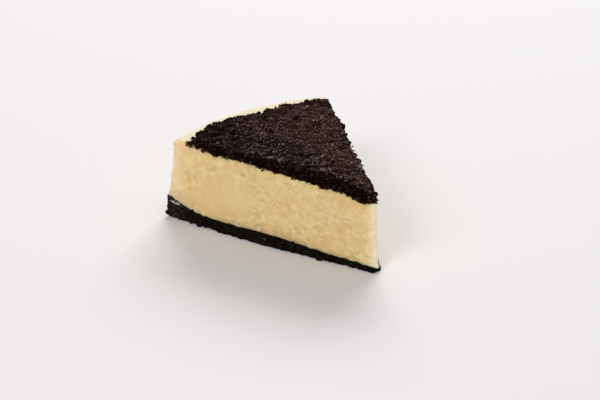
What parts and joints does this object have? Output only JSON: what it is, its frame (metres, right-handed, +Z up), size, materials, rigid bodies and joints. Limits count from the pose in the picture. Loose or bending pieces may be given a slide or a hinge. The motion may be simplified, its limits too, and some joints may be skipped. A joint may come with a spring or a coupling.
{
  "type": "cookies and cream cheesecake slice",
  "caption": "Wedge slice of cheesecake with a thin dark crumb base and low lip, a pale creamy filling with a bare rim, and a topping of dark cookie crumbs.",
  "frame": {"origin": "on the surface the slice stands on, under the middle of its bounding box", "axes": "+Z up; +Y from the slice's tip towards its outer rim; +X across the slice, so that the two cuts lie on either side of the Y axis"},
  "size_m": [0.0965, 0.1176, 0.0443],
  "materials": {
    "pressed_crumbs": "matte",
    "cream_filling": "satin",
    "cookie_crumbs": "matte"
  },
  "bodies": {
    "root": {"base": "pressed_crumbs", "filling": "cream_filling", "topping": "cookie_crumbs"}
  },
  "joints": []
}
